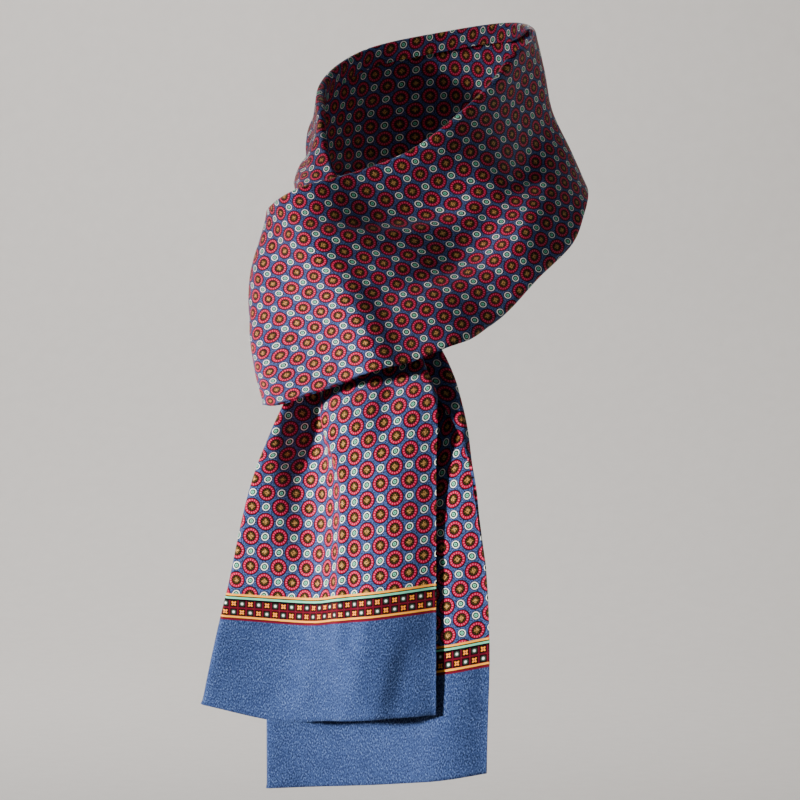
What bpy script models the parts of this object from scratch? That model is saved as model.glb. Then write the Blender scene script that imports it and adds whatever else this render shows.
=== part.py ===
"""A narrow silk scarf, worn wound once round a neck with one end crossing the other.

It is worn facing -Y, +Z is up and the origin is on the neck's axis where the neck meets the
shoulders. The cloth is one ribbon. Each section below is one straight line across that ribbon,
and says where the line lies in the wrap. A smooth curve through the sections' rails gives the
whole cloth, and the stretches of it are the scarf's pieces.
"""

from collections import namedtuple

import bmesh
import bpy
import numpy as np

MM = 0.001

# Driving sizes, in millimetres: the two layers of silk with the air between them, the gap at a seam
# between two pieces, the rolls at the two long edges, and the least and most of a turned edge made.
WALL = 1.8
SEAM_GAP = 0.3
TOP_ROLL_RADIUS = 2.2
FOOT_ROLL_RADIUS = 3.6
LEAST_TURN = 2.5
KEPT_FLAP = 7.0

# How finely the cloth is divided, and the share of a narrow turned edge that is its roll.
FLAP_STEPS = 1
ROLL_STEPS = 4
MAIN_STEPS = 10
RAIL_SAMPLES = 65
CURL_SHARE = 0.8
SLOPE_STEP = 2.0

# A section of the cloth: its distance along the scarf, from a line on the left of the neck and
# counted towards the back tail, the width turned in before its first point and under beyond its
# last one, and five points from its upper or inner edge to its lower or outer one. A width that is
# negative is turned to the cloth's other side.
Section = namedtuple("Section", "along inset under top stand shelf hang foot")

FRONT_TAIL = (
    (-674, 0, 17, (41, -128, -281), (9, -135, -284), (-19, -124, -287), (-54, -113, -290), (-96, -112, -283)),
    (-600, 0, 31, (41, -128, -208), (14, -135, -212), (-12, -128, -216), (-34, -113, -220), (-81, -112, -219)),
    (-536, 0, 44, (41, -128, -141), (16, -134, -144), (-8, -130, -148), (-29, -112, -154), (-65, -113, -154)),
    (-504, 2, 50, (40, -125, -108), (12, -131, -112), (-14, -129, -117), (-30, -112, -123), (-54, -114, -127)),
)
RIGHT_SIDE = (
    (-477, 12, 66, (29, -114, -86), (7, -117, -89), (-16, -117, -93), (-30, -111, -96), (-43, -110, -98)),
    (-434, 34, 58, (12, -92, -49), (-6, -95, -50), (-23, -93, -51), (-38, -88, -53), (-52, -82, -56)),
    (-388, 50, 50, (-12, -68, -10), (-24, -72, -11), (-35, -73, -13), (-44, -70, -15), (-52, -63, -17)),
    (-351, 60, 60, (-38, -52, 14), (-47, -54, 10), (-54, -52, 7), (-59, -48, 5), (-63, -41, 3)),
    (-327, 58, 58, (-49, -38, 31), (-55, -39, 24), (-61, -35, 18), (-67, -28, 12), (-71, -17, 8)),
    (-300, 52, 52, (-57, -18, 50), (-60, -15, 39), (-65, -11, 29), (-72, -4, 19), (-78, 6, 10)),
    (-272, 46, 48, (-64, 7, 64), (-67, 11, 50), (-71, 17, 35), (-77, 26, 21), (-83, 36, 8)),
)
NAPE = (
    (-220, 32, 42, (-50, 47, 85), (-53, 53, 64), (-57, 58, 44), (-60, 67, 24), (-62, 78, 5)),
    (-163, 26, 44, (0, 68, 97), (0, 71, 74), (0, 74, 51), (0, 78, 28), (0, 82, 6)),
    (-103, 14, 50, (48, 50, 101), (50, 52, 78), (53, 56, 55), (58, 60, 32), (64, 64, 9)),
)
BAND = (
    (-48, 1, 50, (66, 4, 92), (69, 14, 71), (73, 20, 48), (85, 18, 27), (96, 12, 7)),
    (-16, 4, 43, (62, -25, 80), (62, -12, 57), (69, -4, 33), (85, -10, 14), (100, -19, -6)),
    (0, 10, 37, (56, -37, 68), (58, -25, 44), (66, -18, 20), (84, -27, 4), (99, -34, -17)),
    (32, 24, 25, (37, -55, 46), (43, -44, 23), (58, -45, 2), (75, -56, -15), (85, -62, -38)),
    (64, 33, 11, (12, -64, 27), (22, -58, 2), (41, -65, -18), (57, -79, -36), (69, -88, -59)),
    (96, 35, 3, (-17, -72, 16), (-3, -75, -10), (17, -87, -30), (34, -100, -50), (48, -112, -74)),
    (128, 32, 2, (-44, -85, 8), (-28, -92, -17), (-8, -100, -40), (9, -113, -62), (23, -126, -86)),
    (160, 29, 0, (-68, -72, -3), (-55, -87, -28), (-37, -100, -51), (-20, -115, -72), (-7, -132, -96)),
    (184, 27, 0, (-76, -55, -8), (-78, -73, -37), (-61, -92, -60), (-43, -111, -82), (-30, -133, -104)),
    (204, 22, 0, (-71, -41, -15), (-84, -59, -43), (-78, -82, -68), (-64, -107, -91), (-48, -132, -110)),
)
TURN = (
    (218, 20, 0, (-57, -39, -23), (-80, -52, -51), (-79, -75, -74), (-70, -99, -95), (-58, -122, -111)),
    (232, 24, 2, (-43, -46, -31), (-68, -52, -58), (-70, -69, -78), (-67, -87, -96), (-61, -107, -110)),
    (248, 26, 8, (-28, -58, -39), (-50, -60, -63), (-57, -68, -80), (-58, -79, -95), (-57, -92, -109)),
    (268, 30, 4, (-8, -70, -48), (-25, -71, -70), (-37, -76, -85), (-42, -80, -98), (-44, -84, -112)),
    (294, 32, 0, (14, -82, -62), (-3, -82, -79), (-17, -84, -94), (-28, -86, -107), (-37, -87, -121)),
)
BACK_TAIL = (
    (320, 26, 0, (36, -99, -81), (17, -98, -94), (-3, -94, -108), (-22, -92, -121), (-41, -91, -134)),
    (356, 12, -10, (54, -112, -116), (26, -110, -127), (-3, -102, -137), (-29, -96, -147), (-54, -95, -155)),
    (390, 4, -28, (61, -118, -149), (31, -116, -158), (0, -107, -166), (-32, -98, -175), (-61, -97, -181)),
    (463, 0, -26, (70, -122, -223), (39, -119, -230), (6, -110, -236), (-29, -100, -243), (-62, -98, -248)),
    (551, 0, -28, (69, -122, -313), (39, -119, -319), (6, -110, -324), (-29, -100, -328), (-62, -98, -331)),
)
SECTIONS = [
    Section(*row) for row in FRONT_TAIL + RIGHT_SIDE + NAPE + BAND + TURN + BACK_TAIL
]

# Each stretch that shows is a piece: where it starts and ends along the scarf, how far apart its
# rows are, and its colour.
Stretch = namedtuple("Stretch", "name start end row colour")
STRETCHES = (
    Stretch("front_tail", -674, -480, 13, (0.36, 0.06, 0.10, 1)),
    Stretch("right_side_wrap", -480, -246, 12, (0.30, 0.05, 0.09, 1)),
    Stretch("nape_wrap", -246, -66, 12, (0.25, 0.05, 0.09, 1)),
    Stretch("cross_band", -66, 214, 8, (0.33, 0.06, 0.10, 1)),
    Stretch("turn_behind", 214, 316, 8, (0.22, 0.05, 0.09, 1)),
    Stretch("back_tail", 316, 551, 13, (0.28, 0.07, 0.12, 1)),
)


def slopes(knots, values):
    """The slope at each knot: the mean of its two chords', weighted to the shorter one."""
    steps = np.diff(knots).reshape(-1, *([1] * (values.ndim - 1)))
    chords = np.diff(values, axis=0) / steps
    inner = (chords[:-1] * steps[1:] + chords[1:] * steps[:-1]) / (steps[:-1] + steps[1:])
    return np.concatenate([chords[:1], inner, chords[-1:]])


def smooth(knots, values, at):
    """A smooth curve through the values at the knots, read at the places given."""
    knots = np.asarray(knots, float)
    values = np.asarray(values, float)
    slope = slopes(knots, values)
    index = np.clip(np.searchsorted(knots, at) - 1, 0, len(knots) - 2)
    step = (knots[index + 1] - knots[index]).reshape(-1, *([1] * (values.ndim - 1)))
    t = (at - knots[index]).reshape(step.shape) / step
    return (
        (1 + 2 * t) * (1 - t) ** 2 * values[index]
        + t * (1 - t) ** 2 * step * slope[index]
        + t**2 * (3 - 2 * t) * values[index + 1]
        - t**2 * (1 - t) * step * slope[index + 1]
    )


def unit(vectors):
    return vectors / np.linalg.norm(vectors, axis=-1, keepdims=True)


def rail_surface(along):
    """The cloth between its rolled edges: rows x samples x 3."""
    knots = [section.along for section in SECTIONS]
    rails = np.array([[s.top, s.stand, s.shelf, s.hang, s.foot] for s in SECTIONS], float)
    rows = smooth(knots, rails, along).transpose(1, 0, 2)
    samples = np.linspace(0, 4, RAIL_SAMPLES)
    return smooth(np.arange(5.0), rows, samples).transpose(1, 0, 2)


def main_surface(along):
    """The cloth between its rolled edges, its arc lengths, directions across and inward normals."""
    points = rail_surface(along)
    arcs = np.zeros(points.shape[:2])
    arcs[:, 1:] = np.cumsum(np.linalg.norm(np.diff(points, axis=1), axis=2), axis=1)
    across = unit(np.gradient(points, axis=1))
    lengthwise = rail_surface(along + SLOPE_STEP) - rail_surface(along - SLOPE_STEP)
    return points, arcs, across, unit(np.cross(across, lengthwise))


def read_row(values, arcs, at):
    """The values of one row, read at distances across it."""
    return np.stack([np.interp(at, arcs, values[:, axis]) for axis in range(3)], axis=-1)


def edge_roll(row, outward, beyond, radius, turned):
    """The cloth past one end of the row: round a roll, then back along the side it is turned to."""
    points, arcs, inward = row
    side = np.clip(turned / LEAST_TURN, -1, 1)
    turn = np.pi * radius
    angle = np.minimum(beyond, turn)[:, None] / radius
    end = 0 if outward[1] == 0 else -1
    curl = points[end] + outward[0] * radius * np.sin(angle)
    curl = curl + side * inward[end] * radius * (1 - np.cos(angle))
    back = np.maximum(beyond - turn, 0)
    place = back if end == 0 else arcs[-1] - back
    lining = read_row(points, arcs, place) + 2 * side * radius * read_row(inward, arcs, place)
    return np.where(back[:, None] > 0, lining, curl)


def places_across(turned_in, length, turned_under):
    """Distances across the row, negative where the cloth is turned in over its first edge."""
    in_curl = min(np.pi * TOP_ROLL_RADIUS, CURL_SHARE * turned_in)
    under_curl = min(np.pi * FOOT_ROLL_RADIUS, CURL_SHARE * turned_under)
    stops = (
        (-turned_in, FLAP_STEPS),
        (-in_curl, ROLL_STEPS),
        (0.0, MAIN_STEPS),
        (length, ROLL_STEPS),
        (length + under_curl, FLAP_STEPS),
        (length + turned_under, 0),
    )
    runs = [
        np.linspace(start, stop, steps, endpoint=False)
        for (start, steps), (stop, _) in zip(stops[:-1], stops[1:])
    ]
    return np.concatenate(runs + [[length + turned_under]])


def kept(turned, radius):
    """How much of a turned width is made: the roll, and a short flap beyond it."""
    return np.clip(abs(turned), LEAST_TURN, np.pi * radius + KEPT_FLAP)


def cloth_rows(along):
    """The cloth at each distance along it, with its turned edges: rows x places x 3."""
    points, arcs, across, inward = main_surface(along)
    knots = [section.along for section in SECTIONS]
    inset = smooth(knots, [section.inset for section in SECTIONS], along)
    under = smooth(knots, [section.under for section in SECTIONS], along)
    grid = []
    for row in range(len(along)):
        length = arcs[row, -1]
        places = places_across(
            kept(inset[row], TOP_ROLL_RADIUS), length, kept(under[row], FOOT_ROLL_RADIUS)
        )
        line = read_row(points[row], arcs[row], places)
        before = places < 0
        after = places > length
        whole = (points[row], arcs[row], inward[row])
        line[before] = edge_roll(
            whole, (-across[row, 0], 0), -places[before], TOP_ROLL_RADIUS, inset[row]
        )
        line[after] = edge_roll(
            whole, (across[row, -1], 1), places[after] - length, FOOT_ROLL_RADIUS, under[row]
        )
        grid.append(line)
    return np.array(grid)


def thick_cloth(along):
    """The two faces of the cloth, half a wall each way from its rows: faces x rows x places x 3."""
    rows = cloth_rows(along)
    lengthwise = cloth_rows(along + SLOPE_STEP) - cloth_rows(along - SLOPE_STEP)
    out = unit(np.cross(lengthwise, np.gradient(rows, axis=1)))
    return np.array([rows + out * WALL / 2, rows - out * WALL / 2])


def cloth_material(name, colour):
    material = bpy.data.materials.new(name)
    material.use_nodes = True
    shader = material.node_tree.nodes["Principled BSDF"]
    shader.inputs["Base Color"].default_value = colour
    shader.inputs["Roughness"].default_value = 0.45
    shader.inputs["Metallic"].default_value = 0.0
    shader.inputs["Sheen Weight"].default_value = 0.3
    return material


def shell_faces(rows, places):
    """The corners of every face of a closed sheet that is rows x places, two faces thick."""
    outer, inner = np.arange(2 * rows * places).reshape(2, rows, places)
    near, far = (np.array([outer[row], inner[row]]) for row in (0, -1))
    first, last = (np.array([outer[:, place], inner[:, place]]) for place in (0, -1))
    for sheet in (outer, inner, near, far, first, last):
        for row in range(sheet.shape[0] - 1):
            for place in range(sheet.shape[1] - 1):
                yield (
                    sheet[row, place],
                    sheet[row + 1, place],
                    sheet[row + 1, place + 1],
                    sheet[row, place + 1],
                )


def add_stretch(collection, stretch):
    """One stretch of the scarf, cut from the thick cloth with a gap at each of its ends."""
    start = stretch.start + SEAM_GAP / 2
    end = stretch.end - SEAM_GAP / 2
    count = max(2, round((end - start) / stretch.row)) + 1
    sheets = thick_cloth(np.linspace(start, end, count)) * MM
    shape = bmesh.new()
    corners = [shape.verts.new(point) for point in sheets.reshape(-1, 3)]
    for face in shell_faces(*sheets.shape[1:3]):
        shape.faces.new([corners[index] for index in face])
    bmesh.ops.recalc_face_normals(shape, faces=shape.faces)
    mesh = bpy.data.meshes.new(stretch.name)
    shape.to_mesh(mesh)
    shape.free()
    mesh.shade_smooth()
    mesh.materials.append(cloth_material(stretch.name, stretch.colour))
    piece = bpy.data.objects.new(stretch.name, mesh)
    collection.objects.link(piece)


def main():
    for old in list(bpy.data.objects):
        bpy.data.objects.remove(old)
    collection = bpy.data.collections.new("silk_scarf")
    bpy.context.scene.collection.children.link(collection)
    for stretch in STRETCHES:
        add_stretch(collection, stretch)


main()
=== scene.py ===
"""The looks of the worn silk scarf: the cloth with its print, the studio and the camera."""

from collections import namedtuple

import bpy
import numpy as np
from mathutils import Matrix, Vector


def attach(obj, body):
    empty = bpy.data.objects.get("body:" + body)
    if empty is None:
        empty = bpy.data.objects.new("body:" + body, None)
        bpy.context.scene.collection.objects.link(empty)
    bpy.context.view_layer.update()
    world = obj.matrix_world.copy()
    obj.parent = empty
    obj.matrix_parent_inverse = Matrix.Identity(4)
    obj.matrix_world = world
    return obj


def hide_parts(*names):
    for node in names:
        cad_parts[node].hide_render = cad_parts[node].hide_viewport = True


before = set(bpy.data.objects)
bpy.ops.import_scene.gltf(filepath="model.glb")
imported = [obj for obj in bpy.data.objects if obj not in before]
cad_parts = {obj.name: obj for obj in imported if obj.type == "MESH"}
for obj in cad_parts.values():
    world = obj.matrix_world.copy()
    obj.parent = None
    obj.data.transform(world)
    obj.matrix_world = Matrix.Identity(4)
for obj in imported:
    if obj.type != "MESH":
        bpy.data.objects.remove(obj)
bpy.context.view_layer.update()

MM = 0.001

# The cloth, in millimetres.
CLOTH_WIDTH = 160.0
CLOTH_WALL = 0.7
EDGE_SWELL = 0.5  # what the sewn edges and hems add to each side of the wall
EDGE_REACH = 1.6
TOP_ROLL_RADIUS = 2.2
FOOT_ROLL_RADIUS = 2.8
LEAST_TURN = 1.5  # the width turned in past an edge, at least and at most
MOST_TURN = 16.0
CURL_SHARE = 0.8  # how much of a narrow turned-in width its roll may take

# The grid: rows along the cloth, and the steps across its flap, roll, face, roll and flap.
ROW_STEP = 2.7
SLOPE_STEP = 2.0
RAILS = 5
RAIL_SAMPLES = 97
COLUMNS = (9, 9, 60, 10, 9)

# A section of the cloth, in millimetres: its distance along the scarf, the width turned in before
# its first point and under beyond its last one, and five points from its upper or inner edge to its
# lower or outer one. A width that is negative is turned to the cloth's other side.
Section = namedtuple("Section", "along inset under top stand shelf hang foot")

FRONT_TAIL = (
    (-674, 0, 17, (41, -128, -281), (9, -135, -284), (-19, -124, -287), (-54, -113, -290), (-96, -112, -283)),
    (-600, 0, 31, (41, -128, -208), (14, -135, -212), (-12, -128, -216), (-34, -113, -220), (-81, -112, -219)),
    (-536, 0, 44, (41, -128, -141), (16, -134, -144), (-8, -130, -148), (-29, -112, -154), (-65, -113, -154)),
    (-504, 2, 50, (40, -125, -108), (12, -131, -112), (-14, -129, -117), (-30, -112, -123), (-54, -114, -127)),
)
RIGHT_SIDE = (
    (-477, 12, 66, (29, -114, -86), (7, -117, -89), (-16, -117, -93), (-30, -111, -96), (-43, -110, -98)),
    (-434, 34, 58, (12, -92, -49), (-6, -95, -50), (-23, -93, -51), (-38, -88, -53), (-52, -82, -56)),
    (-388, 50, 50, (-12, -68, -10), (-24, -72, -11), (-35, -73, -13), (-44, -70, -15), (-52, -63, -17)),
    (-351, 60, 60, (-38, -52, 14), (-47, -54, 10), (-54, -52, 7), (-59, -48, 5), (-63, -41, 3)),
    (-327, 58, 58, (-49, -38, 31), (-55, -39, 24), (-61, -35, 18), (-67, -28, 12), (-71, -17, 8)),
    (-300, 52, 52, (-57, -18, 50), (-60, -15, 39), (-65, -11, 29), (-72, -4, 19), (-78, 6, 10)),
    (-272, 46, 48, (-64, 7, 64), (-67, 11, 50), (-71, 17, 35), (-77, 26, 21), (-83, 36, 8)),
)
NAPE = (
    (-220, 32, 42, (-50, 47, 85), (-53, 53, 64), (-57, 58, 44), (-60, 67, 24), (-62, 78, 5)),
    (-163, 26, 44, (0, 68, 97), (0, 71, 74), (0, 74, 51), (0, 78, 28), (0, 82, 6)),
    (-103, 14, 50, (48, 50, 101), (50, 52, 78), (53, 56, 55), (58, 60, 32), (64, 64, 9)),
)
BAND = (
    (-48, 1, 50, (66, 4, 92), (69, 14, 71), (73, 20, 48), (85, 18, 27), (96, 12, 7)),
    (-16, 4, 43, (62, -25, 80), (62, -12, 57), (69, -4, 33), (85, -10, 14), (100, -19, -6)),
    (0, 10, 37, (56, -37, 68), (58, -25, 44), (66, -18, 20), (84, -27, 4), (99, -34, -17)),
    (32, 24, 25, (37, -55, 46), (43, -44, 23), (58, -45, 2), (75, -56, -15), (85, -62, -38)),
    (64, 33, 11, (12, -64, 27), (22, -58, 2), (41, -65, -18), (57, -79, -36), (69, -88, -59)),
    (96, 35, 3, (-17, -72, 16), (-3, -75, -10), (17, -87, -30), (34, -100, -50), (48, -112, -74)),
    (128, 32, 2, (-44, -85, 8), (-28, -92, -17), (-8, -100, -40), (9, -113, -62), (23, -126, -86)),
    (160, 29, 0, (-68, -72, -3), (-55, -87, -28), (-37, -100, -51), (-20, -115, -72), (-7, -132, -96)),
    (184, 27, 0, (-76, -55, -8), (-78, -73, -37), (-61, -92, -60), (-43, -111, -82), (-30, -133, -104)),
    (204, 22, 0, (-71, -41, -15), (-84, -59, -43), (-78, -82, -68), (-64, -107, -91), (-48, -132, -110)),
)
TURN = (
    (218, 20, 0, (-57, -39, -23), (-80, -52, -51), (-79, -75, -74), (-70, -99, -95), (-58, -122, -111)),
    (232, 24, 2, (-43, -46, -31), (-68, -52, -58), (-70, -69, -78), (-67, -87, -96), (-61, -107, -110)),
    (248, 26, 8, (-28, -58, -39), (-50, -60, -63), (-57, -68, -80), (-58, -79, -95), (-57, -92, -109)),
    (268, 30, 4, (-8, -70, -48), (-25, -71, -70), (-37, -76, -85), (-42, -80, -98), (-44, -84, -112)),
    (294, 32, 0, (14, -82, -62), (-3, -82, -79), (-17, -84, -94), (-28, -86, -107), (-37, -87, -121)),
)
BACK_TAIL = (
    (320, 26, 0, (36, -99, -81), (17, -98, -94), (-3, -94, -108), (-22, -92, -121), (-41, -91, -134)),
    (356, 12, -10, (54, -112, -116), (26, -110, -127), (-3, -102, -137), (-29, -96, -147), (-54, -95, -155)),
    (390, 4, -28, (61, -118, -149), (31, -116, -158), (0, -107, -166), (-32, -98, -175), (-61, -97, -181)),
    (463, 0, -26, (70, -122, -223), (39, -119, -230), (6, -110, -236), (-29, -100, -243), (-62, -98, -248)),
    (551, 0, -28, (69, -122, -313), (39, -119, -319), (6, -110, -324), (-29, -100, -328), (-62, -98, -331)),
)
SECTIONS = [
    Section(*row) for row in FRONT_TAIL + RIGHT_SIDE + NAPE + BAND + TURN + BACK_TAIL
]

# A crease in the cloth: where it starts and ends, each as a distance along the scarf and a share of
# the way across what shows, how far it stands out or dips in, and its half-width.
Crease = namedtuple("Crease", "along_a across_a along_b across_b height width")
CREASES = (
    # The front tail: its ridge, the deep valley beside it, the fold at its right, and its panel.
    Crease(-456, 0.82, -542, 0.50, 3.4, 5),
    Crease(-508, 0.56, -664, 0.46, 2.6, 5),
    Crease(-440, 0.93, -600, 0.76, -8.5, 10),
    Crease(-456, 0.79, -536, 0.75, -11.0, 9),
    Crease(-496, -0.30, -496, 0.80, 3.0, 13),
    Crease(-560, 0.72, -700, 0.64, 2.6, 9),
    Crease(-462, 0.14, -528, 0.26, -3.4, 9),
    Crease(-500, -0.02, -650, -0.02, -1.0, 8),
    Crease(-590, 0.30, -700, 0.46, 3.0, 10),
    Crease(-596, 1.04, -664, 1.04, 4.0, 14),
    Crease(-630, 0.10, -690, 0.20, -2.4, 9),
    # The cross band: the crest down its left part, the arm to the right of it, and the hollows.
    Crease(144, -0.10, 144, 1.50, 9.0, 14),
    Crease(164, 0.20, 44, 0.46, 8.0, 9),
    Crease(140, 0.66, 20, 0.60, -4.0, 12),
    Crease(84, -0.20, 60, 1.30, -7.0, 34),
    Crease(36, 0.12, -30, 0.46, 1.8, 10),
    Crease(10, 0.20, -52, 0.62, -2.4, 11),
    Crease(206, 0.40, 168, 0.76, -1.8, 10),
    # Round the neck: shallow drags from the crossing to the nape.
    Crease(-70, 0.30, -190, 0.56, -2.4, 10),
    Crease(-96, 0.70, -230, 0.36, 2.2, 12),
    Crease(-150, 0.84, -268, 0.66, -2.0, 9),
    Crease(-236, 0.24, -330, 0.60, 2.0, 9),
    Crease(-276, 0.70, -352, 0.30, -2.2, 8),
    # The back tail.
    Crease(316, 0.14, 660, 0.14, -5.0, 20),
    Crease(340, 0.02, 436, 0.02, -4.0, 14),
    Crease(352, 0.56, 520, 0.50, -2.4, 14),
    Crease(440, 0.78, 556, 0.70, -2.0, 13),
    Crease(500, 0.16, 562, 0.30, -1.2, 10),
)
CREASE_SPAN = 130.0  # millimetres for a whole share across
CREASE_FADE = 0.7
# Where the cloth faces the front, its creases stand out that way more than square to its slant.
FRONT = (0.258, -0.964, 0.07)
FRONT_PULL = 3.0

# The print, in millimetres.
MOTIF_STEP = 8.0
MOTIF_INSET = 13.6
MEDALLION_RADIUS = 4.3
OVAL_RADIUS = 2.05
PANEL_DEPTH = 58.0
BORDER_DEPTH = 15.9
TILE = 4.78
FRONT_HEM = -674.0
BACK_HEM = 551.0

# The view, in degrees and metres, and its lens, in millimetres.
VIEW_AZIMUTH = 15.0
VIEW_ELEVATION = 4.0
VIEW_DISTANCE = 2.3
VIEW_SHIFT = (-0.012, -0.116)
LENS = 178.5
SENSOR = 36.0
CLIP_START = 0.05

# The studio, in metres, watts and radians.
FLOOR_LEVEL = -0.62
FLOOR_FRONT = -4.0
FLOOR_HALF = 5.0
FLOOR_CURVE = 0.9
FLOOR_STEPS = 24
BACKDROP = 3.3
BACKDROP_HEIGHT = 3.2
PAPER_GRAIN = 60.0
AIR_TINT = (0.9, 0.93, 1.0, 1)
AIR_STRENGTH = 0.065
Lamp = namedtuple("Lamp", "name place aim size power spread tint")
KEY_SPREAD = 0.26  # a lamp as narrow as this gives shade alone, with no glare
WIDE = 3.1
KEY_TINT = (1.0, 0.97, 0.93)
WARM = (1.0, 0.98, 0.96)
COOL = (0.93, 0.96, 1.0)
LAMPS = (
    Lamp("key_light", (-1.90, -1.52, 0.06), (-0.055, -0.12, -0.195), 0.3, 1.8, KEY_SPREAD, KEY_TINT),
    Lamp("side_light", (-2.0, -1.3, 0.5), (0, -0.05, -0.08), 1.0, 4, WIDE, WARM),
    Lamp("fill_light", (1.6, -1.8, 0.3), (0, -0.05, -0.08), 1.2, 2.0, WIDE, COOL),
    Lamp("far_side_light", (2.3, 0.6, 0.5), (0, 0, -0.08), 1.4, 9, WIDE, WARM),
    Lamp("back_light", (-0.6, 2.4, 1.3), (0, 0, -0.08), 1.4, 14, WIDE, WARM),
    Lamp("backdrop_light", (-1.9, 1.2, 1.7), (-0.6, 3.3, 0.2), 1.0, 60, 2.6, WARM),
)


def slopes(knots, values):
    """The slope at each knot: the mean of its two chords', weighted to the shorter one."""
    steps = np.diff(knots).reshape(-1, *([1] * (values.ndim - 1)))
    chords = np.diff(values, axis=0) / steps
    inner = (chords[:-1] * steps[1:] + chords[1:] * steps[:-1]) / (steps[:-1] + steps[1:])
    return np.concatenate([chords[:1], inner, chords[-1:]])


def smooth(knots, values, at):
    """A cubic through the values at the knots, with the slope above at each, read at the places."""
    knots = np.asarray(knots, float)
    values = np.asarray(values, float)
    slope = slopes(knots, values)
    index = np.clip(np.searchsorted(knots, at) - 1, 0, len(knots) - 2)
    step = (knots[index + 1] - knots[index]).reshape(-1, *([1] * (values.ndim - 1)))
    t = (at - knots[index]).reshape(step.shape) / step
    return (
        (1 + 2 * t) * (1 - t) ** 2 * values[index]
        + t * (1 - t) ** 2 * step * slope[index]
        + t**2 * (3 - 2 * t) * values[index + 1]
        - t**2 * (1 - t) * step * slope[index + 1]
    )


def unit(vectors):
    """Each vector divided by its own length."""
    return vectors / np.linalg.norm(vectors, axis=-1, keepdims=True)


def rail_surface(along):
    """Rails smooth along the scarf through the sections' points, then each row smooth across them."""
    knots = [section.along for section in SECTIONS]
    rails = np.array([[s.top, s.stand, s.shelf, s.hang, s.foot] for s in SECTIONS], float)
    rows = smooth(knots, rails, along).transpose(1, 0, 2)
    samples = np.linspace(0, RAILS - 1, RAIL_SAMPLES)
    return smooth(np.arange(float(RAILS)), rows, samples).transpose(1, 0, 2)


def crease_heights(along, share):
    """Each crease is a round ridge across its line, faded in and out towards its two ends."""
    height = np.zeros((len(along), len(share)))
    v, s = np.meshgrid(along, share, indexing="ij")
    for crease in CREASES:
        run = crease.along_b - crease.along_a
        rise = (crease.across_b - crease.across_a) * CREASE_SPAN
        length = np.hypot(run, rise)
        dv = v - crease.along_a
        ds = (s - crease.across_a) * CREASE_SPAN
        t = (dv * run + ds * rise) / length**2
        off = (ds * run - dv * rise) / length
        fade = np.clip(np.sin(np.pi * np.clip(t, 0, 1)), 0, 1) ** CREASE_FADE
        height += crease.height * fade * np.exp(-((off / crease.width) ** 2))
    return height


def main_surface(along):
    """The cloth between its rolled edges, its arc lengths, directions across and inward normals.

    The arcs are measured on the smooth form, and then the creases move its points outwards.
    """
    points = rail_surface(along)
    lengthwise = rail_surface(along + SLOPE_STEP) - rail_surface(along - SLOPE_STEP)
    inward = unit(np.cross(np.gradient(points, axis=1), lengthwise))
    arcs = np.zeros(points.shape[:2])
    arcs[:, 1:] = np.cumsum(np.linalg.norm(np.diff(points, axis=1), axis=2), axis=1)
    facing = -(inward @ np.array(FRONT))[..., None]
    lift = unit(FRONT_PULL * np.maximum(facing, 0) * np.array(FRONT) - inward)
    points = points + lift * crease_heights(along, np.linspace(0, 1, RAIL_SAMPLES))[..., None]
    return points, arcs, unit(np.gradient(points, axis=1)), inward


def read_row(values, arcs, at):
    """The values of one row, read at distances across it."""
    return np.stack([np.interp(at, arcs, values[:, axis]) for axis in range(3)], axis=-1)


def edge_roll(row, end, outward, beyond, radius, turned):
    """The cloth past one end of the row: round a roll, then back along the side it is turned to.

    The end is 0 or -1, and beyond holds how far each point of the cloth lies past it.
    """
    points, arcs, inward = row
    side = np.clip(turned / LEAST_TURN, -1, 1)
    turn = np.pi * radius
    angle = np.minimum(beyond, turn)[:, None] / radius
    curl = points[end] + outward * radius * np.sin(angle)
    curl = curl + side * inward[end] * radius * (1 - np.cos(angle))
    back = np.maximum(beyond - turn, 0)
    place = back if end == 0 else arcs[-1] - back
    lining = read_row(points, arcs, place) + 2 * side * radius * read_row(inward, arcs, place)
    return np.where(back[:, None] > 0, lining, curl)


def places_across(turned_in, length, turned_under):
    """Distances across the row, negative where the cloth is turned in over its first edge."""
    in_curl = min(np.pi * TOP_ROLL_RADIUS, CURL_SHARE * turned_in)
    under_curl = min(np.pi * FOOT_ROLL_RADIUS, CURL_SHARE * turned_under)
    stops = (-turned_in, -in_curl, 0.0, length, length + under_curl, length + turned_under)
    runs = [
        np.linspace(start, stop, steps, endpoint=False)
        for start, stop, steps in zip(stops[:-1], stops[1:], COLUMNS)
    ]
    return np.concatenate(runs + [[stops[-1]]])


def cloth_rows(along):
    """The cloth at each distance along it, and the print's own width and length coordinates."""
    points, arcs, across, inward = main_surface(along)
    knots = [section.along for section in SECTIONS]
    under = smooth(knots, [section.under for section in SECTIONS], along)
    inset = smooth(knots, [section.inset for section in SECTIONS], along)
    grid = []
    print_places = []
    for row in range(len(along)):
        length = arcs[row, -1]
        turned_in = np.clip(abs(inset[row]), LEAST_TURN, MOST_TURN)
        turned_under = np.clip(abs(under[row]), LEAST_TURN, MOST_TURN)
        places = places_across(turned_in, length, turned_under)
        line = read_row(points[row], arcs[row], places)
        before = places < 0
        after = places > length
        whole = (points[row], arcs[row], inward[row])
        line[before] = edge_roll(
            whole, 0, -across[row, 0], -places[before], TOP_ROLL_RADIUS, inset[row]
        )
        line[after] = edge_roll(
            whole, -1, across[row, -1], places[after] - length, FOOT_ROLL_RADIUS, under[row]
        )
        first = abs(inset[row])
        last = CLOTH_WIDTH - abs(under[row])
        print_places.append(np.interp(
            places,
            [-turned_in, 0, length, length + turned_under],
            [first - turned_in, first, last, last + turned_under],
        ))
        grid.append(line)
    return np.array(grid), np.array(print_places)


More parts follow.
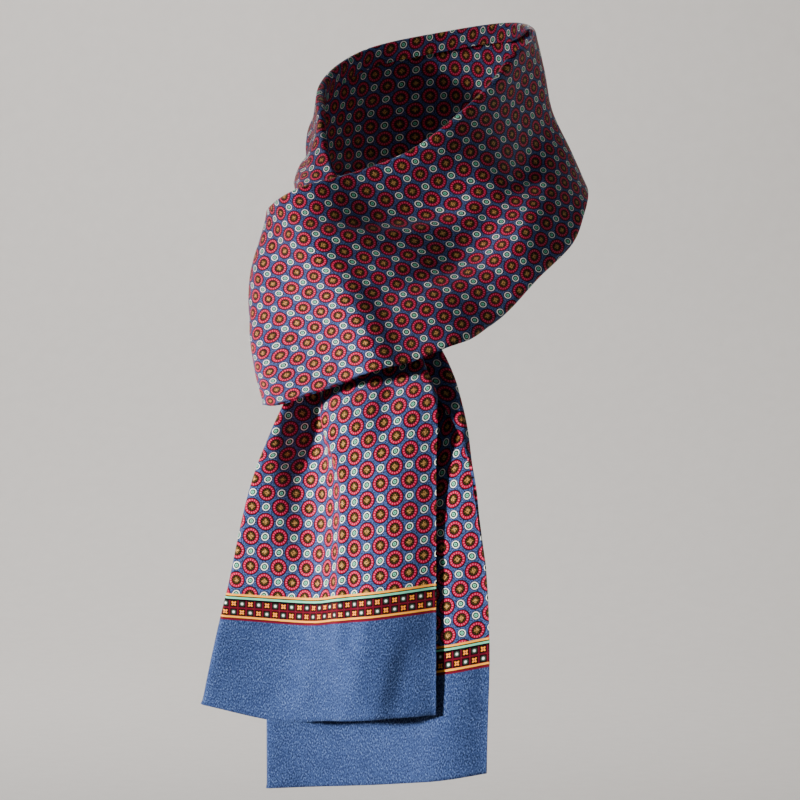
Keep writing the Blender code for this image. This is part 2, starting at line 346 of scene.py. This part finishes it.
def shell_faces(rows, places):
    """The corners of every face of a closed sheet that is rows x places, two faces thick."""
    outer, inner = np.arange(2 * rows * places).reshape(2, rows, places)
    strips = (
        outer,
        inner[:, ::-1],
        np.array([inner[0], outer[0]]),
        np.array([outer[-1], inner[-1]]),
        np.stack([outer[:, 0], inner[:, 0]])[:, ::-1],
        np.stack([inner[:, -1], outer[:, -1]])[:, ::-1],
    )
    return np.concatenate([
        np.stack([s[:-1, :-1], s[1:, :-1], s[1:, 1:], s[:-1, 1:]], axis=-1).reshape(-1, 4)
        for s in strips
    ])


def make_mesh(name, points, faces, print_places):
    """A smooth mesh piece, with the print's coordinates as its UV map, in units of the cloth's width."""
    mesh = bpy.data.meshes.new(name)
    mesh.vertices.add(len(points))
    mesh.vertices.foreach_set("co", points.reshape(-1))
    mesh.loops.add(faces.size)
    mesh.loops.foreach_set("vertex_index", faces.reshape(-1))
    mesh.polygons.add(len(faces))
    mesh.polygons.foreach_set("loop_start", np.arange(0, faces.size, 4))
    mesh.update(calc_edges=True)
    layer = mesh.uv_layers.new(name="print")
    layer.uv.foreach_set("vector", print_places[faces.reshape(-1)].reshape(-1))
    mesh.shade_smooth()
    piece = bpy.data.objects.new(name, mesh)
    bpy.context.scene.collection.objects.link(piece)
    return piece


def silk_cloth():
    """The whole scarf as one thin closed sheet over its rows, thicker along its sewn edges."""
    first, last = SECTIONS[0].along, SECTIONS[-1].along
    along = np.linspace(first, last, round((last - first) / ROW_STEP) + 1)
    rows, across = cloth_rows(along)
    lengthwise = np.gradient(rows, axis=0)
    out = unit(np.cross(lengthwise, np.gradient(rows, axis=1)))
    from_edge = np.minimum(across - across[:, :1], across[:, -1:] - across)
    from_hem = np.minimum(along - first, last - along)[:, None]
    swell = EDGE_SWELL * np.exp(-((np.minimum(from_edge, from_hem) / EDGE_REACH) ** 2))
    half = (CLOTH_WALL / 2 + swell)[..., None]
    points = np.array([rows + out * half, rows - out * half]) * MM
    places = np.stack([across, np.broadcast_to(along[:, None], across.shape)], axis=-1) / CLOTH_WIDTH
    places = np.array([places, places]).reshape(-1, 2)
    return make_mesh("silk_cloth", points.reshape(-1, 3), shell_faces(*rows.shape[:2]), places)


# The sockets that share a name with others: Object on Texture Coordinate, and the colours of a Mix.
OBJECT_COORDINATES = 3
MIX_UNDER = 6
MIX_OVER = 7
MIX_RESULT = 2


class Graph:
    """Adds nodes to a tree, and gives back the socket that each puts out."""

    def __init__(self, tree):
        self.tree = tree

    def node(self, kind, inputs=(), out=0, **settings):
        node = self.tree.nodes.new(kind)
        for name, value in settings.items():
            setattr(node, name, value)
        for socket, value in dict(inputs).items():
            if isinstance(value, bpy.types.NodeSocket):
                self.tree.links.new(value, node.inputs[socket])
            else:
                node.inputs[socket].default_value = value
        return node.outputs[out]

    def math(self, operation, *values):
        return self.node("ShaderNodeMath", enumerate(values), operation=operation)

    def size(self, value):
        """The value without its sign."""
        return self.math("ABSOLUTE", value)

    def length(self, x, y):
        """The root of the sum of the two squares."""
        return self.math("SQRT", self.add(self.times(x, x), self.times(y, y)))

    def stretch(self, vector, by):
        """The vector with each of its parts times one of the others'."""
        return self.node("ShaderNodeVectorMath", {0: vector, 1: by}, operation="MULTIPLY")

    def add(self, a, b):
        return self.math("ADD", a, b)

    def minus(self, a, b):
        return self.math("SUBTRACT", a, b)

    def times(self, a, b):
        return self.math("MULTIPLY", a, b)

    def step(self, value, low, high, to_low=0.0, to_high=1.0):
        """From one value to another as the input goes from low to high, with soft ends."""
        inputs = {0: value, 1: low, 2: high, 3: to_low, 4: to_high}
        return self.node("ShaderNodeMapRange", inputs, interpolation_type="SMOOTHSTEP")

    def inside(self, value, edge, soft):
        """1 below the edge and 0 above it."""
        return self.step(value, edge - soft, edge + soft, 1.0, 0.0)

    def ring(self, value, low, high, soft):
        """1 between the two values and 0 past them."""
        return self.times(self.inside(value, high, soft), self.step(value, low - soft, low + soft))

    def paint(self, under, over, mask):
        """The first colour where the mask is 0, and the second where it is 1."""
        inputs = {0: mask, MIX_UNDER: under, MIX_OVER: over}
        return self.node("ShaderNodeMix", inputs, MIX_RESULT, data_type="RGBA")

    def split(self, vector):
        """Its first two parts."""
        node = self.tree.nodes.new("ShaderNodeSeparateXYZ")
        self.tree.links.new(vector, node.inputs[0])
        return node.outputs[0], node.outputs[1]

    def noise(self, vector, scale, detail=2.0, rough=0.5):
        inputs = {"Vector": vector, "Scale": scale, "Detail": detail, "Roughness": rough}
        return self.node("ShaderNodeTexNoise", inputs)


def new_group(name, inputs, outputs):
    """An empty shader node group with these sockets, each a label and a kind."""
    tree = bpy.data.node_groups.new(name, "ShaderNodeTree")
    for label, kind in inputs:
        tree.interface.new_socket(label, in_out="INPUT", socket_type=kind)
    for label, kind in outputs:
        tree.interface.new_socket(label, in_out="OUTPUT", socket_type=kind)
    given = tree.nodes.new("NodeGroupInput")
    taken = tree.nodes.new("NodeGroupOutput")
    return tree, given, taken


def colour(red, green, blue):
    """A colour named by its screen values, made linear."""
    screen = np.array([red, green, blue]) / 255
    linear = np.where(screen <= 0.04045, screen / 12.92, ((screen + 0.055) / 1.055) ** 2.4)
    return (*linear.tolist(), 1.0)


INK = colour(12, 3, 8)
GROUND_BLUE = colour(64, 82, 130)
CRIMSON = colour(142, 6, 44)
PINK = colour(240, 80, 120)
OLIVE = colour(80, 62, 28)
TAN = colour(216, 160, 88)
IVORY = colour(250, 252, 246)
MINT = colour(110, 206, 168)
TEAL = colour(30, 84, 70)
GOLD = colour(252, 166, 52)
ORANGE = colour(250, 152, 44)
MAROON = colour(98, 16, 34)
MOSS = colour(56, 74, 62)
PANEL_BLUE = colour(52, 70, 114)
PANEL_DARK = colour(20, 32, 68)
PANEL_LIGHT = colour(108, 130, 176)
PAPER = colour(222, 218, 214)
PAPER_LIGHT = colour(230, 226, 222)

# A medallion, its edges as shares of its radius.
MEDALLION_OUTLINE = 1.13
BEADS = 16
BEAD_START = 0.70
BEAD_STOP = 0.92
BEAD_INK = 0.8
EYE_EDGE = 0.65
SPOTS_EDGE = 0.58
SPOTS = 11
SPOTS_TWIST = 7.0
SPOTS_INK = 0.9
HEART_EDGE = 0.29
HEART_POINTS = 4
HEART_DEPTH = 0.06

# The discs of an oval from the widest to the narrowest: the edge as a share of its radius, its
# softness and its ink.
OVAL_SLANT = 0.12
OVAL_FULLNESS = 0.98
Disc = namedtuple("Disc", "edge soft ink")
OVAL_DISCS = (
    Disc(1.20, 0.08, INK),
    Disc(1.00, 0.08, IVORY),
    Disc(0.76, 0.06, INK),
    Disc(0.44, 0.06, MINT),
    Disc(0.16, 0.08, TEAL),
)

# The border, by its depth from the side where the motifs end: its lines, and the middles of its
# two rows of tiles. A tile's shapes are given from its own middle.
Line = namedtuple("Line", "start stop ink")
BORDER_LINES = (
    Line(-0.2, 1.2, GOLD),
    Line(1.2, 1.8, INK),
    Line(1.8, 3.0, MINT),
    Line(3.0, 3.8, INK),
    Line(13.2, 14.4, GOLD),
    Line(14.4, 14.7, INK),
    Line(14.7, 16.2, MAROON),
)
LINE_SOFT = 0.12
ROWS_PART = (8.1, 8.3)
ROW_MIDDLES = (5.75, 10.85)
TILE_HALF = 2.05
TILE_FRAME = (1.75, 2.1)
FRAME_INK = 0.9
STAR_EDGE = 1.25
STAR_POINTS = 4
STAR_DEPTH = 0.42
STAR_EYE = 0.45
BLOB_EDGE = 1.4
BLOB_POWER = 3.0
PEARL_EDGE = 0.7
TILE_SOFT = 0.2

# Steps over a noise: where each starts and stops, and for most what it gives there.
GROUND_SPECKLE = (0.36, 0.64, 0.2, 1.45)
HEART_STIPPLE = (0.44, 0.58)
DARK_THREADS = (0.5, 0.36, 0.0, 0.95)
LIGHT_THREADS = (0.52, 0.66, 0.0, 0.8)
DARK_PATCHES = (0.4, 0.75, 0.0, 0.25)

# How fast each noise changes, in changes a millimetre.
GROUND_GRAIN = (1.5, 1.5, 1.0)
HEART_GRAIN = 1.9
THREAD_GRAIN = (1.4, 0.85, 1)
THREAD_SLANT = 0.7
PATCH_GRAIN = 0.09
SLUB_GRAIN = (0.5, 1.6, 1.0)

# The weave: its ribs' pitch in millimetres, and how much of its height they are.
TWILL_PITCH = 0.7
TWILL_RIBS = 0.3
BUMP_STRENGTH = 0.25
BUMP_DISTANCE = 0.0003


def foulard_group():
    """Medallions and ovals by turns on a square lattice, each painted from its widest disc inwards."""
    tree, given, taken = new_group(
        "foulard_motifs", [("Place", "NodeSocketVector")], [("Color", "NodeSocketColor")]
    )
    g = Graph(tree)
    u, v = g.split(given.outputs["Place"])
    x = g.times(g.minus(u, MOTIF_INSET), 1 / MOTIF_STEP)
    y = g.times(v, 1 / MOTIF_STEP)
    a = g.times(g.add(x, y), 0.5)
    b = g.times(g.minus(x, y), 0.5)

    def motif_frame(shift):
        da = g.minus(a, g.add(g.math("ROUND", g.minus(a, shift)), shift))
        db = g.minus(b, g.add(g.math("ROUND", g.minus(b, shift)), shift))
        return g.times(g.add(da, db), MOTIF_STEP), g.times(g.minus(da, db), MOTIF_STEP)

    weave = g.noise(g.stretch(given.outputs["Place"], GROUND_GRAIN), 1.0, 1.0)
    shade = g.step(weave, *GROUND_SPECKLE)
    ground = g.node("ShaderNodeVectorMath", {0: GROUND_BLUE[:3], "Scale": shade}, operation="SCALE")

    mx, my = motif_frame(0.0)
    radius = g.times(g.length(mx, my), 1 / MEDALLION_RADIUS)
    angle = g.math("ARCTAN2", my, mx)
    beads = g.math("COSINE", g.times(angle, BEADS))
    spots = g.math("COSINE", g.add(g.times(angle, SPOTS), g.times(radius, SPOTS_TWIST)))
    points = g.math("COSINE", g.times(angle, HEART_POINTS))
    result = g.paint(ground, INK, g.inside(radius, MEDALLION_OUTLINE, 0.06))
    result = g.paint(result, CRIMSON, g.inside(radius, 1.0, 0.04))
    beads = g.times(g.ring(radius, BEAD_START, BEAD_STOP, 0.05), g.step(beads, -0.2, 0.7))
    result = g.paint(result, PINK, g.times(beads, BEAD_INK))
    result = g.paint(result, INK, g.inside(radius, EYE_EDGE, 0.04))
    spots = g.times(g.inside(radius, SPOTS_EDGE, 0.05), g.step(spots, -0.3, 0.7))
    result = g.paint(result, OLIVE, g.times(spots, SPOTS_INK))
    stipple = g.noise(given.outputs["Place"], HEART_GRAIN, 2.0)
    heart = g.inside(g.minus(radius, g.times(points, HEART_DEPTH)), HEART_EDGE, 0.1)
    result = g.paint(result, TAN, g.times(heart, g.step(stipple, *HEART_STIPPLE)))

    ox, oy = motif_frame(0.5)
    across = g.times(g.add(ox, g.times(oy, OVAL_SLANT)), OVAL_FULLNESS)
    length = g.times(oy, OVAL_FULLNESS)
    reach = g.times(g.length(across, length), 1 / OVAL_RADIUS)
    for disc in OVAL_DISCS:
        result = g.paint(result, disc.ink, g.inside(reach, disc.edge, disc.soft))
    tree.links.new(result, taken.inputs["Color"])
    return tree


def border_group():
    """Lines across the scarf by their distance from its motifs, and two rows of tiles between them."""
    tree, given, taken = new_group(
        "tiled_border",
        [("Across", "NodeSocketFloat"), ("Depth", "NodeSocketFloat")],
        [("Color", "NodeSocketColor")],
    )
    g = Graph(tree)
    across = given.outputs["Across"]
    depth = given.outputs["Depth"]
    low_row = g.step(depth, *ROWS_PART)
    middle = g.step(low_row, 0.4, 0.6, *ROW_MIDDLES)
    column = g.add(g.times(across, 1 / TILE), low_row)
    pair = g.times(g.minus(g.math("FRACT", g.times(column, 0.5)), 0.5), 2 * TILE)
    pale = g.step(pair, -0.1, 0.1)
    x = g.minus(g.size(pair), TILE / 2)
    y = g.minus(depth, middle)
    radius = g.length(x, y)
    points = g.math("COSINE", g.times(g.math("ARCTAN2", y, x), STAR_POINTS))
    star = g.inside(g.add(radius, g.times(points, STAR_DEPTH)), STAR_EDGE, TILE_SOFT)
    cubes = [g.math("POWER", g.size(value), BLOB_POWER) for value in (x, y)]
    blob = g.math("POWER", g.add(*cubes), 1 / BLOB_POWER)
    square = g.math("MAXIMUM", g.size(x), g.size(y))
    tile = g.paint(MAROON, INK, g.inside(square, TILE_HALF, LINE_SOFT))
    star_tile = g.paint(tile, ORANGE, star)
    star_tile = g.paint(star_tile, CRIMSON, g.inside(radius, STAR_EYE, TILE_SOFT))
    pale_tile = g.paint(tile, MOSS, g.inside(blob, BLOB_EDGE, TILE_SOFT))
    pale_tile = g.paint(pale_tile, IVORY, g.inside(radius, PEARL_EDGE, 0.25))
    result = g.paint(star_tile, pale_tile, pale)
    result = g.paint(result, MAROON, g.times(g.step(g.size(x), *TILE_FRAME), FRAME_INK))
    for line in BORDER_LINES:
        result = g.paint(result, line.ink, g.ring(depth, line.start, line.stop, LINE_SOFT))
    tree.links.new(result, taken.inputs["Color"])
    return tree


def panel_group():
    """Blue threads of three shades, speckled across the twill's slant."""
    tree, given, taken = new_group(
        "heather_blue", [("Place", "NodeSocketVector")], [("Color", "NodeSocketColor")]
    )
    g = Graph(tree)
    place = given.outputs["Place"]
    turn = (0, 0, THREAD_SLANT)
    slanted = g.node("ShaderNodeMapping", {"Vector": place, "Rotation": turn, "Scale": THREAD_GRAIN})
    fine = g.noise(slanted, 1.0, 2.0, 0.65)
    broad = g.noise(place, PATCH_GRAIN, 2.0)
    result = g.paint(PANEL_BLUE, PANEL_DARK, g.step(fine, *DARK_THREADS))
    result = g.paint(result, PANEL_LIGHT, g.step(fine, *LIGHT_THREADS))
    result = g.paint(result, PANEL_DARK, g.step(broad, *DARK_PATCHES))
    tree.links.new(result, taken.inputs["Color"])
    return tree


def twill_group():
    """The height of the weave: fine slanting ribs, and the slight unevenness of spun silk."""
    tree, given, taken = new_group(
        "silk_twill", [("Place", "NodeSocketVector")], [("Height", "NodeSocketFloat")]
    )
    g = Graph(tree)
    u, v = g.split(given.outputs["Place"])
    rib = g.math("SINE", g.times(g.add(u, v), 2 * np.pi / TWILL_PITCH))
    slub = g.noise(g.stretch(given.outputs["Place"], SLUB_GRAIN), 1.0, 3.0)
    tree.links.new(g.add(g.times(rib, TWILL_RIBS), slub), taken.inputs["Height"])
    return tree


def silk_material():
    """Printed silk: motifs, then the border, then the plain panel, by the distance from each hem."""
    material = bpy.data.materials.new("printed_silk")
    material.use_nodes = True
    tree = material.node_tree
    g = Graph(tree)
    shader = tree.nodes["Principled BSDF"]
    place = g.stretch(g.node("ShaderNodeUVMap", uv_map="print"), (CLOTH_WIDTH, CLOTH_WIDTH, 1.0))
    u, v = g.split(place)
    middle = (FRONT_HEM + BACK_HEM) / 2
    from_hem = g.minus((BACK_HEM - FRONT_HEM) / 2, g.size(g.minus(v, middle)))
    depth = g.minus(PANEL_DEPTH + BORDER_DEPTH, from_hem)

    def use(group, **inputs):
        node = tree.nodes.new("ShaderNodeGroup")
        node.node_tree = group
        for name, socket in inputs.items():
            tree.links.new(socket, node.inputs[name])
        return node.outputs[0]

    motifs = use(foulard_group(), Place=place)
    border = use(border_group(), Across=u, Depth=depth)
    panel = use(panel_group(), Place=place)
    height = use(twill_group(), Place=place)
    result = g.paint(motifs, border, g.step(depth, -0.1, 0.1))
    result = g.paint(result, panel, g.step(depth, BORDER_DEPTH - 0.15, BORDER_DEPTH + 0.15))
    tree.links.new(result, shader.inputs["Base Color"])
    shader.inputs["Roughness"].default_value = 0.5
    shader.inputs["Specular IOR Level"].default_value = 0.18
    shader.inputs["Sheen Weight"].default_value = 0.03
    shader.inputs["Sheen Roughness"].default_value = 0.4
    bump = g.node(
        "ShaderNodeBump", {"Height": height, "Strength": BUMP_STRENGTH, "Distance": BUMP_DISTANCE}
    )
    tree.links.new(bump, shader.inputs["Normal"])
    return material


def pale_floor():
    """A wide floor that curves up into a backdrop, as one sheet."""
    turn = np.linspace(0, np.pi / 2, FLOOR_STEPS)
    y = [FLOOR_FRONT, *(BACKDROP - FLOOR_CURVE + FLOOR_CURVE * np.sin(turn)), BACKDROP]
    z = [0.0, *(FLOOR_CURVE * (1 - np.cos(turn))), BACKDROP_HEIGHT]
    sides = [
        (x, across, up + FLOOR_LEVEL)
        for across, up in zip(y, z)
        for x in (-FLOOR_HALF, FLOOR_HALF)
    ]
    index = np.arange(len(sides)).reshape(-1, 2)
    faces = np.stack([index[:-1, 0], index[:-1, 1], index[1:, 1], index[1:, 0]], axis=-1)
    floor = make_mesh("floor", np.array(sides), faces, np.zeros((len(sides), 2)))
    paper = bpy.data.materials.new("pale_paper")
    paper.use_nodes = True
    g = Graph(paper.node_tree)
    shader = paper.node_tree.nodes["Principled BSDF"]
    grain = g.noise(g.node("ShaderNodeTexCoord", out=OBJECT_COORDINATES), PAPER_GRAIN, 3.0)
    shade = g.paint(PAPER, PAPER_LIGHT, grain)
    paper.node_tree.links.new(shade, shader.inputs["Base Color"])
    shader.inputs["Roughness"].default_value = 0.9
    floor.data.materials.append(paper)


def studio():
    """The floor, soft light mainly from the left, and the camera, which sees no lamp."""
    pale_floor()
    world = bpy.data.worlds.new("studio_air")
    world.use_nodes = True
    air = world.node_tree.nodes["Background"]
    air.inputs["Color"].default_value = AIR_TINT
    air.inputs["Strength"].default_value = AIR_STRENGTH
    bpy.context.scene.world = world

    for lamp in LAMPS:
        data = bpy.data.lights.new(lamp.name, "AREA")
        data.size = lamp.size
        data.energy = lamp.power
        data.color = lamp.tint
        data.spread = lamp.spread
        light = bpy.data.objects.new(lamp.name, data)
        light.location = lamp.place
        light.visible_glossy = lamp.spread > KEY_SPREAD
        light.visible_camera = False
        light.rotation_mode = "QUATERNION"
        aim = Vector(lamp.aim) - Vector(lamp.place)
        light.rotation_quaternion = aim.to_track_quat("-Z", "Y")
        bpy.context.scene.collection.objects.link(light)

    around = np.radians(VIEW_AZIMUTH)
    above = np.radians(VIEW_ELEVATION)
    back = Vector((np.sin(around) * np.cos(above), -np.cos(around) * np.cos(above), np.sin(above)))
    right = Vector((np.cos(around), np.sin(around), 0))
    up = back.cross(right)
    data = bpy.data.cameras.new("camera")
    data.lens = LENS
    data.sensor_width = SENSOR
    data.clip_start = CLIP_START
    camera = bpy.data.objects.new("camera", data)
    camera.location = back * VIEW_DISTANCE + right * VIEW_SHIFT[0] + up * VIEW_SHIFT[1]
    camera.rotation_mode = "QUATERNION"
    camera.rotation_quaternion = Matrix((right, up, back)).transposed().to_quaternion()
    bpy.context.scene.collection.objects.link(camera)
    bpy.context.scene.camera = camera


def main():
    cloth = silk_cloth()
    cloth.data.materials.append(silk_material())
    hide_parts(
        "front_tail", "right_side_wrap", "nape_wrap", "cross_band", "turn_behind", "back_tail",
    )
    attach(cloth, "root")
    studio()


main()
